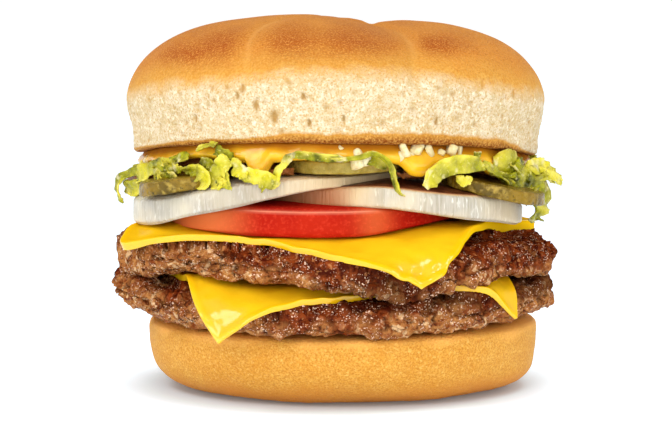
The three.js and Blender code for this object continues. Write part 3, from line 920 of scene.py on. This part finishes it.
# Painted shade: the right slice's top face is painted dark brown.
stain = mixed(tree, grains(tree, 5), "#8A5030", "#4A180E")
colour = mixed(tree, spread(tree, soaked, 1.0, 1.2), colour, stain)
finish(tree, colour, fibres, 0.12, Roughness=0.35, Subsurface_Weight=0.3, Subsurface_Radius=(3, 2.6, 2.2),
       Specular_IOR_Level=0.25)


# %% Onion slices
# The right slice lies under the left one, and there its front is painted brown, as painted shade, which fades
# between these two places across.
STAIN_ENDS = 12
STAIN_FULL = -2


def bend_onion(p, n, side):
    """Both left ends are drawn in. The lower outer corners sink, and the right slice's front is raised."""
    upper, under = clamp(0.5 + 0.5 * n.z), clamp(0.3 - 0.7 * n.z)
    aside = 2.2 * smoothstep(-30, -50, p.x)
    if side == "left":
        return Vector((aside, 0, -0.9 * smoothstep(-34, -44, p.x) * under))
    raised = 0.7 + (0.9 + 0.6 * smoothstep(16, 34, p.x)) * upper
    lift = raised * smoothstep(-14, 12, p.x) * smoothstep(47, 40, p.x) - 0.9 * smoothstep(36, 44, p.x) * under
    return Vector((aside, 0, lift * smoothstep(-8, -30, p.y)))


# Painted shade on the right slice, under the left one and on its top face; elsewhere a warm beige tint.
def juice(p, n, side):
    if side == "left":
        return 0.5 * smoothstep(-24, 2, p.x + 2 * fractal(p, 6))
    front = smoothstep(STAIN_ENDS, STAIN_FULL, p.x + 2 * fractal(p, 6))
    return max(front, 0.35 * smoothstep(30, 42, p.x), 1.2 * smoothstep(0.6, 0.95, n.z))


for side in ("left", "right"):
    ring = cut_slice(f"onion_{side}", lambda p, n: 0.12 * fractal(p, 7))
    shift(ring, lambda p, n: bend_onion(p, n, side))
    brush(ring, "juice", lambda p, n: juice(p, n, side))
    # A patch of painted shade on the left slice.
    brush(ring, "clear", lambda p, n: 0.45 * exp(-((p.x + 23) / 10) ** 2) if side == "left" else 0)
    dress(ring, onion, "onion", f"onion_{side}")

# %% Pickle material
# A gherkin that has lain in vinegar: olive green, wet, half clear, with paler flesh and darker flecks.
gherkin, tree = material("pickled_gherkin")
colour = mixed(tree, grains(tree, 5), "#8E6E18", "#5C480E")
colour = mixed(tree, grains(tree, 1.6, 3, 0.52, 0.75), colour, "#B29440")
colour = mixed(tree, grains(tree, 0.9, 3, 0.58, 0.7), colour, "#4C3E12")
# Painted light: the middle slice, in the sauce's shade, is painted lighter.
colour = mixed(tree, attribute(tree, "lit"), colour, mixed(tree, grains(tree, 3), "#D8C060", "#A08C34"))
finish(tree, colour, grains(tree, 1.5, 3), 0.2, Roughness=0.25, Subsurface_Weight=0.1,
       Subsurface_Radius=(1.5, 1.5, 0.4), Specular_IOR_Level=0.2)


# %% Pickle slices
def bend_pickle(p, n):
    """The outer ends are drawn in, and those on the left sink."""
    aside = 1.8 * smoothstep(-38, -50, p.x) - 1.7 * smoothstep(36, 50, p.x)
    return Vector((aside, 0, -0.8 * smoothstep(-20, -30, p.x)))


for side in ("left", "middle", "right", "back"):
    coin = shift(cut_slice(f"pickle_{side}", lambda p, n: 0.25 * fractal(p, 4)), bend_pickle)
    # The middle slice gets painted light.
    brush(coin, "lit", lambda p, n: 0.55 if side == "middle" else 0)
    dress(coin, gherkin, "pickle", f"pickle_{side}")

# %% [markdown]
# ## The sauce
# A thick yellow dressing with diced onion in it. It was spread under the crown, presses out as far as the
# crown's rim, and runs down in a few drips. A fluid simulation could make those, but where each drip hangs
# is known, so the layer's rim is bulged and drawn down there instead.

# %% Sauce
# Where the sauce runs down: the angle round the crown, how far, and half its width in degrees.
RUNS = [(-112, 3.4, 3.8), (-66.5, 1.8, 5), (-39.5, 1.4, 3.5), (-150, 1.4, 8), (25, 2.4, 5), (100, 2.8, 6),
        (160, 2.2, 5)]


def press_out(p, n):
    """The rim bulges out to the bread, and hangs down in soft runs."""
    angle = degrees(atan2(p.y, p.x))
    rim = smoothstep(42, 46, hypot(p.x, p.y))
    side = sqrt(max(0, 1 - n.z ** 2)) * rim
    runs = [clamp(1.6 - 1.6 * abs((angle - at + 180) % 360 - 180) / wide) for at, _, wide in RUNS]
    down = 0.4 + 0.5 * fractal(p, 6) + sum(run * much for run, (_, much, _) in zip(runs, RUNS))
    low = smoothstep(0.5, -0.2, n.z)
    bulge = side * low * (1.3 + 0.6 * fractal(p, 5) + 0.9 * max(runs)) + 0.3 * fractal(p, 4)
    up = 0.9 * smoothstep(0.0, 0.6, n.z)
    return n * bulge + Vector((0, 0, up - down * low)) * rim


sauce = shift(subdivide(make_piece("sauce_layer", merged_copy("sauce"))), press_out)
# A painted shadow: the band just under the crown's cut face, where the crown's shadow falls.
brush(sauce, "thin", lambda p, n: smoothstep(2.8, 0.4, cut_height(p.x, p.y) - p.z + 0.8 * fractal(p, 4)))

# Mayonnaise with mustard: smooth, glossy and opaque yellow. Just under the crown's cut face it is painted
# browner: the crown's shadow, painted on.
dressing, tree = material("mustard_mayonnaise")
colour = mixed(tree, grains(tree, 4), "#F6C424", "#ECAE18")
# The painted shadow of the crown, in a browner yellow.
colour = mixed(tree, attribute(tree, "thin"), colour, "#B46C16")
finish(tree, colour, grains(tree, 2), 0.05, Roughness=0.18, Subsurface_Weight=0.15,
       Subsurface_Radius=(2, 1.3, 0.3), Specular_IOR_Level=0.45)
dress(sauce, dressing, "sauce", "sauce")

# %% [markdown]
# ## Diced onion in the sauce
# A few bits stick out of the dressing at the front, and more show round the sides. Each starts as a cube
# that is bevelled and bent out of shape, because a chopped bit has flat sides but no sharp ones.

# %% A chopped bit
BIT_EDGE = 0.26


def chopped_bit(bm, place, size, dice):
    """A cube of about that size, stretched and turned at random, with rounded edges."""
    shape = Matrix.Translation(Vector(place) * MM)
    turn = Matrix.Rotation(dice.uniform(0, pi), 4, Vector([dice.uniform(-1, 1) for _ in "xyz"]))
    stretch = Matrix.Diagonal([dice.uniform(0.6, 1.5) for _ in "xyz"] + [1])
    made = bmesh.ops.create_cube(bm, size=size * MM, matrix=shape @ turn @ stretch)
    edges = {edge for vert in made["verts"] for edge in vert.link_edges}
    bmesh.ops.bevel(bm, geom=list(edges), offset=BIT_EDGE * size * MM, offset_type="OFFSET", segments=2,
                    profile=0.5, affect="EDGES", material=-1)


# %% Onion bits
# Where the bits at the front lie: across, height, and size.
FRONT_BITS = [(15.4, 59.6, 1.9), (14.6, 58.2, 1.7), (18.4, 59.8, 1.5), (21.3, 59.2, 1.7), (26.2, 59.4, 1.8),
              (-7.4, 59.0, 1.2), (17, 58.6, 1.1), (24, 58.9, 1.2), (28.4, 59.2, 1.3), (0.6, 59.4, 1.5),
              (1.0, 58.2, 1.2), (4.6, 57.6, 2.4), (6.2, 57.5, 2.0)]
SAUCE_RIM = 46.6
SIDE_BITS = 26

dice = random.Random(5)
bits = bmesh.new()
for x, z, size in FRONT_BITS:
    chopped_bit(bits, (x, -sqrt(SAUCE_RIM ** 2 - x ** 2), z), 1.35 * size, dice)
for _ in range(SIDE_BITS):
    angle = radians(dice.uniform(-25, 205))
    x, y = SAUCE_RIM * cos(angle), SAUCE_RIM * sin(angle)
    chopped_bit(bits, (x, y, cut_height(x, y) - dice.uniform(1.2, 3.0)), dice.uniform(1.2, 2.4), dice)
onion_bits = sculpt(make_piece("diced_onion", bits), lambda p, n: 0.4 * fractal(p, 0.9))

# Bits of the same raw onion, with a film of dressing on them, so they are yellower and shine a little more.
diced, tree = material("diced_white_onion")
finish(tree, mixed(tree, grains(tree, 1.0), "#F2E2B4", "#EAD494"), grains(tree, 0.5), 0.1, Roughness=0.3,
       Subsurface_Weight=0.2, Subsurface_Radius=(2, 1.6, 1), Specular_IOR_Level=0.4)
dress(onion_bits, diced, "onion")

# %% [markdown]
# ## The lettuce
# The CAD heap gives the outline of a handful of shredded leaf. Here its place is taken by a smaller, darker
# core, and by leaf strips that lie over it. A strip is a grid that is laid along a curve: it is folded along
# its middle, its edges frill, its ends run out in a point, and Solidify gives it the thickness of a leaf. The
# strips that show at the front are laid one by one, and the others at random, with a fixed seed.

# %% Lettuce core
core = subdivide(make_piece("lettuce_core", merged_copy("lettuce")), 1)
sculpt(core, lambda p, n: -1.2 + 0.3 * fractal(p, 4))
# The material reads both: how green the leaf is, and where it lies in the brown shade of the heap.
brush(core, "green", lambda p, n: 1)
brush(core, "shade", lambda p, n: 1)


# %% A strip of leaf
LEAF_THICKNESS = 0.35
ALONG, ACROSS = 26, 6
# The shredder's cut edges widen and narrow between this many places along a strip.
STATIONS = 5


def on_curve(points, share):
    """A place on the smooth curve through the points."""
    spans = len(points) - 1
    i = min(int(share * spans), spans - 1)
    t = share * spans - i
    a, b, c, d = (points[min(max(i + k, 0), spans)] for k in (-1, 0, 1, 2))
    return 0.5 * (2 * b + (c - a) * t + (2 * a - 5 * b + 4 * c - d) * t ** 2
                  + (3 * b - a - 3 * c + d) * t ** 3)


def leaf_strip(bm, points, width, dice, green, frill, turn):
    """Lays a strip of leaf along a curve, its face outwards, turned by some degrees about its length."""
    greenness = bm.verts.layers.float.get("green") or bm.verts.layers.float.new("green")
    made = bmesh.ops.create_grid(bm, x_segments=ALONG, y_segments=ACROSS, size=1)
    wave = Vector([dice.uniform(0, 60) for _ in "xyz"])
    folded = dice.choice([-0.25, 0.12, 0.25])
    cuts = [[dice.uniform(0.2, 0.6)] + [dice.uniform(0.6, 1.25) for _ in range(STATIONS - 1)]
            + [dice.uniform(0, 0.2)] for _ in range(2)]
    for vert in made["verts"]:
        side = vert.co.y
        share = (vert.co.x + 1) / 2
        middle = on_curve(points, share)
        along = (on_curve(points, min(share + 0.03, 1)) - on_curve(points, max(share - 0.03, 0))).normalized()
        out = Vector((middle.x, middle.y, 0)).normalized()
        across = along.cross(out).normalized()
        face = across.cross(along)
        swing = radians(turn) + 0.6 * fractal(middle + wave, 7)
        across, face = across * cos(swing) + face * sin(swing), face * cos(swing) - across * sin(swing)
        cut = cuts[side > 0]
        station = min(int(share * STATIONS), STATIONS - 1)
        straight = cut[station] + (cut[station + 1] - cut[station]) * (share * STATIONS - station)
        length = share * len(points)
        half = width / 2 * straight * (1 + 0.2 * noise.noise(Vector((length * 4, side, 7)) + wave))
        ruffle = frill * abs(side) ** 1.5 * noise.noise(Vector((length * 2.5, side, 0)) + wave)
        vert.co = (middle + across * side * half + face * (ruffle * 2 + folded * half * abs(side))) * MM
        patches = 0.8 * fractal(middle + wave + across * side, 3.0) + 0.3 * side
        vert[greenness] = clamp(green + patches - 0.5 * max(0, abs(side) - 0.6))


# %% Where the strips lie at the front
HEAP_RIM = 48.5


def wall(x, z, out):
    """A place on the front of the heap: across, height, and how far it stands out."""
    return Vector((x, -sqrt(max(0, (HEAP_RIM + out) ** 2 - x ** 2)), z))


# The strips that show at the front: their course as (across, height, standing out), then their width, how
# green they are, and how far they are turned about their length.
FRONT_STRIPS = [
    ([(-41, 55, 0), (-45.6, 54, 0.5), (-50, 52.4, 3), (-52.4, 50.3, 5), (-52.2, 47.4, 5), (-51, 45.4, 4)],
     2.6, 0.8, 0),
    ([(-42, 50.2, 0.5), (-45, 49.8, 0.5), (-48.6, 49, 2), (-50.6, 47.8, 3)], 4.4, 0.6, 0),
    ([(-37, 55.6, 1), (-42.5, 54.8, 1), (-46, 53, 1.5), (-47, 50.5, 1.5)], 4.2, 0.5, 0),
    ([(-39, 54, 1.5), (-41.5, 52.8, 2), (-38.5, 52.6, 2), (-36, 52, 1.5)], 3.2, 0.55, 0),
    ([(-34, 57.6, 0.5), (-36.5, 57.2, 0.8), (-39.5, 55.6, 0.8)], 2.4, 0.9, 0),
    ([(-32, 59.3, 0.8), (-29.5, 60.4, 1), (-27, 61, 0.6)], 1.6, 0.3, 30),
    ([(-31, 57, 0), (-29, 56.2, 0.5), (-27.5, 54, 0.5)], 2.8, 1.0, 0),
    ([(-34.5, 54.5, 2), (-32.6, 54.7, 3), (-30.6, 54, 3.4), (-30, 52.4, 3), (-32.4, 51.2, 2.6)], 3.8, 0.6, 0),
    ([(-27.5, 59, 0.8), (-25.5, 58.6, 1.2), (-23.5, 57.2, 1)], 3.0, 1.0, 0),
    ([(-24, 57.2, 1.6), (-26, 56, 2.4), (-27.6, 53.6, 2.6), (-28.4, 51.2, 2)], 5.0, 0.15, 15),
    ([(-23.6, 57.4, 1.4), (-21.6, 55.4, 1.8), (-20.4, 53.4, 1.6)], 4.0, 0.5, -10),
    ([(-27, 53, 2.6), (-25.6, 51.8, 3), (-24, 51.6, 2.6)], 2.6, 0.6, 0),
    ([(-21.6, 54.4, 1), (-18, 53.6, 1.6), (-15, 52.4, 1.6), (-14.4, 51, 1.4)], 4.6, 0.25, 0),
    ([(-10, 58.8, 0.6), (-11.4, 57, 1.4), (-13.2, 54.4, 1.8), (-14.2, 51.2, 1.6)], 2.0, 0.5, 0),
    ([(-11, 58.4, 0.3), (-6, 58.6, 0.8), (-1, 58.2, 0.8), (3, 57.4, 0.6)], 2.0, 0.8, 0),
    ([(-2, 57.6, 0.8), (4.6, 58.2, 1.2), (8.6, 59, 1.4), (12, 56.6, 1.8), (13, 53.4, 2), (14, 50.6, 1.8),
      (15.6, 49.4, 1.6)], 1.3, 0.75, 0),
    ([(4.4, 57.4, -0.6), (8.4, 57.4, -0.4), (11.4, 55.6, -0.4)], 2.8, 1.0, 0),
    ([(19.8, 51.6, 2.8), (22, 54, 3), (26, 56.4, 2.4), (30.6, 56.6, 1.8), (34.6, 55, 1.2)], 4.6, 0.5, 0),
    ([(27.4, 53.2, 1.6), (29.4, 52.4, 1.8), (31, 53, 1.6)], 2.4, 0.0, 0),
    ([(33.8, 56.6, 1.4), (36, 54.8, 1.8), (38.4, 53, 2), (41.6, 50.8, 2)], 2.4, 0.8, 0),
    ([(36.4, 55.4, 0), (40.4, 54.8, 1.6), (43.8, 53.6, 2.4), (47, 51.4, 2.6), (49.2, 48.8, 2)], 7.6, 0.75, 0),
    ([(44.6, 55, 1.4), (48, 54.6, 3), (50.8, 53, 4.6), (52.2, 50.4, 5)], 4.4, 0.3, 20),
    ([(45.6, 53.4, 1.4), (49.4, 52.8, 4), (52.6, 51.6, 6), (54.2, 50.4, 6.8)], 3.0, 0.1, 0),
    ([(46, 50.6, 2), (47.8, 48.4, 3), (47.6, 45.6, 3.4), (46.8, 42.8, 3.2), (46.6, 41.6, 3)], 8.4, 0.8, 0),
    ([(31.6, 58.4, 0.4), (33.2, 58, 0.6)], 1.8, 1.0, 0),
]
# Where smaller shreds lie loose at the front: from and to, across, and how many.
LOOSE = [(-48, -24, 10), (36, 50, 5)]
SIDE_STRIPS = 52

# %% Lettuce strips
dice = random.Random(11)
strips = bmesh.new()
for course, width, green, turn in FRONT_STRIPS:
    leaf_strip(strips, [wall(*point) for point in course], width, dice, green, 0.35 * width ** 0.5, turn)
for low, high, count in LOOSE:
    for _ in range(count):
        x, z = dice.uniform(low, high), dice.uniform(53, 57)
        lean, length = dice.uniform(-2.9, 0.3), dice.uniform(3, 6.5)
        course = [wall(x + share * length * cos(lean), z + share * length * sin(lean),
                       1.2 + 1.6 * sin(pi * share)) for share in (0, 0.35, 0.7, 1)]
        width, green, turn = dice.uniform(1.3, 2.8), dice.uniform(0.4, 1.2), dice.uniform(-40, 40)
        leaf_strip(strips, course, width, dice, green, 0.6, turn)
for i in range(SIDE_STRIPS):
    angle = -18 + 216 * (i + dice.uniform(0, 0.8)) / SIDE_STRIPS
    drop = dice.uniform(2, 8)
    lie = dice.uniform(-14, 14)
    top = dice.uniform(52, 55)
    course = []
    for share, reach in ((0, 43), (0.3, 47), (0.65, HEAP_RIM), (1, HEAP_RIM)):
        turned = radians(angle + lie * share)
        course.append(Vector((reach * cos(turned), reach * sin(turned), top - drop * share ** 1.5)))
    width, green, turn = dice.uniform(3, 8), dice.uniform(0.1, 0.9), dice.uniform(-30, 30)
    leaf_strip(strips, course, width, dice, green, 1.0, turn)
lettuce = make_piece("lettuce_strips", strips)
leafy = lettuce.modifiers.new("leafy", "SOLIDIFY")
leafy.thickness = LEAF_THICKNESS * MM
leafy.offset = 0
settle(lettuce)
lettuce.data.shade_smooth()

# %% Lettuce material
# Fresh leaf of a pale, crisp lettuce: waxy, thin enough for light to pass into it, yellow green with darker
# patches, and with cream ones where it is thick. The heap's core is in brown shade.
leaf, tree = material("iceberg_leaf")
colour = mixed(tree, grains(tree, 2.2), "#F2E05E", "#DACA24")
green = mixed(tree, grains(tree, 2.5, 3), "#A8A40C", "#545404")
colour = mixed(tree, attribute(tree, "green"), colour, green)
colour = mixed(tree, grains(tree, 3.6, 2, 0.6, 0.76), colour, "#EEE0AC")
colour = mixed(tree, grains(tree, 0.8, 2, 0.62, 0.85), colour, "#F2E68C")
colour = mixed(tree, attribute(tree, "shade"), colour, "#B06C38")
finish(tree, colour, grains(tree, 1.0, 3), 0.2, Roughness=0.28, Subsurface_Weight=0.1,
       Subsurface_Radius=(1, 1.2, 0.3), Specular_IOR_Level=0.18)
dress(core, leaf, "lettuce", "lettuce")
dress(lettuce, leaf, "lettuce")
